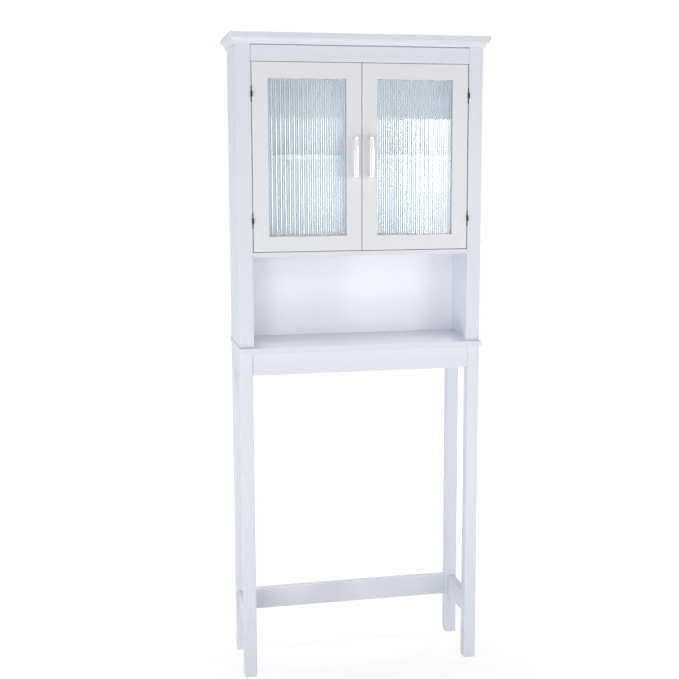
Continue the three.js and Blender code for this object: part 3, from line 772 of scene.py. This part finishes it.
world = bpy.data.worlds.new("studio_air")
scene.world = world
world.use_nodes = True
tree = world.node_tree
tree.nodes.clear()
seen = rays_that_see(tree)
air = add_node(tree, "ShaderNodeBackground", {"Color": linear("F4F6FF"), "Strength": 0.22})
white = add_node(tree, "ShaderNodeBackground", {"Color": linear("FFFFFF"), "Strength": 1.0})
sky = add_node(tree, "ShaderNodeMixShader", {0: seen, 1: air.outputs[0], 2: white.outputs[0]})
add_node(tree, "ShaderNodeOutputWorld", {"Surface": sky.outputs[0]})

# ---------------------------------------------------------------------------------------------
# The lamps: softboxes to the left and right, each in parts, since the panes mirror only the
# heights beside them, and a window on the right for the glare in the right pane. The others
# stand behind, overhead, high in front and low down, for the back, the tops and the feet.
# ---------------------------------------------------------------------------------------------


def add_softbox(name, centre, target, face, watts, colour="FFFFFF"):
    """A studio lamp that looks at a point and isn't seen itself. Its face is wide by high."""
    data = bpy.data.lights.new(name, "AREA")
    data.shape = "RECTANGLE"
    data.size, data.size_y = face
    data.energy = watts
    data.color = linear(colour)[:3]
    lamp = bpy.data.objects.new(name, data)
    direction = Vector(target) - Vector(centre)
    lamp.matrix_world = (Matrix.Translation(centre)
                         @ direction.to_track_quat("-Z", "Y").to_matrix().to_4x4())
    lamp.visible_camera = False
    scene.collection.objects.link(lamp)
    return lamp


aim_x, aim_y = 0.0, -0.1
stand_distance = 3.0
lamp_face = (0.8, 0.6)
beside_panes = (1.0, 1.6)
over_panes = (1.88, 2.3)
under_panes = (0.3, 0.85)


def stand(name, bearing, heights, width, watts):
    """A softbox on a stand: upright, between two heights, on a bearing from the rack."""
    turn = math.radians(bearing)
    x, y = aim_x + stand_distance * math.sin(turn), aim_y - stand_distance * math.cos(turn)
    low, high = heights
    middle = (low + high) / 2
    add_softbox(name, (x, y, middle), (aim_x, aim_y, middle), (width, high - low), watts)


stand("softbox_left", -25, beside_panes, width=0.8, watts=7)
stand("softbox_left_high", -25, over_panes, width=0.8, watts=5)
stand("softbox_left_low", -25, under_panes, width=0.8, watts=6)
stand("softbox_right", 48, beside_panes, width=0.8, watts=3)
stand("softbox_right_high", 48, over_panes, width=0.8, watts=7)
stand("softbox_right_low", 48, under_panes, width=0.8, watts=6)
stand("softbox_far_left", -60, (0.2, 1.2), width=0.6, watts=21)
stand("softbox_far_left_high", -60, over_panes, width=0.6, watts=5)
add_softbox("softbox_window", (1.015, -2.1, 1.4), (0.265, -0.1, 1.4), (0.63, 0.32), 4, "FFF8F2")
add_softbox("softbox_window_low", (1.015, -2.1, 1.145), (0.265, -0.1, 1.145), (0.63, 0.19), 1.4)
add_softbox("lamp_behind_left", (-2.2, 2.2, 1.2), (0, -0.1, 1.2), lamp_face, 8, "D1F1FF")
add_softbox("lamp_behind_right", (2.2, 2.2, 1.2), (0, -0.1, 1.2), lamp_face, 22)
add_softbox("lamp_above", (0, 0.4, 3.4), (0, -0.1, 0.0), lamp_face, 40)
add_softbox("lamp_high", (0.9, -3.0, 2.25), (0, -0.1, 1.2), lamp_face, 3)
add_softbox("softbox_feet", (0.5, -1.6, 0.2), (0.1, -0.1, 0.15), (0.8, 0.3), 2.8)
add_softbox("softbox_low_left", (-2.6, 0.0, 0.4), (0, 0, 0.4), (0.6, 0.5), 4)

# ---------------------------------------------------------------------------------------------
# The fills: thin dim lamps inside the cupboard and the open shelf, which stand for the light
# that a white room sends in. Those beside the walls don't show in the panes or the metal.
# ---------------------------------------------------------------------------------------------

shelf_fill = add_softbox("fill_open_shelf", (0, -0.08, 1.13), (0, -0.13, 0.9), (0.5, 0.03), 0.12)
shelf_fill.data.spread = math.radians(90)
fill_x = 0.264
fill_width = 0.02
across_x, across_y = 0.1, 0.1
for side, sign in zip(sides, (-1, 1)):
    for place, y, middle, height, watts in (("cupboard_upper", -0.06, 1.5, 0.16, 0.06),
                                            ("cupboard_lower", -0.06, 1.27, 0.16, 0.06),
                                            ("open_shelf", -0.088, 1.017, 0.2, 0.05)):
        fill = add_softbox(f"fill_{place}_{side}", (sign * fill_x, y, middle),
                           (-sign * across_x, across_y, middle), (fill_width, height), watts)
        fill.visible_transmission = False
        fill.visible_glossy = False
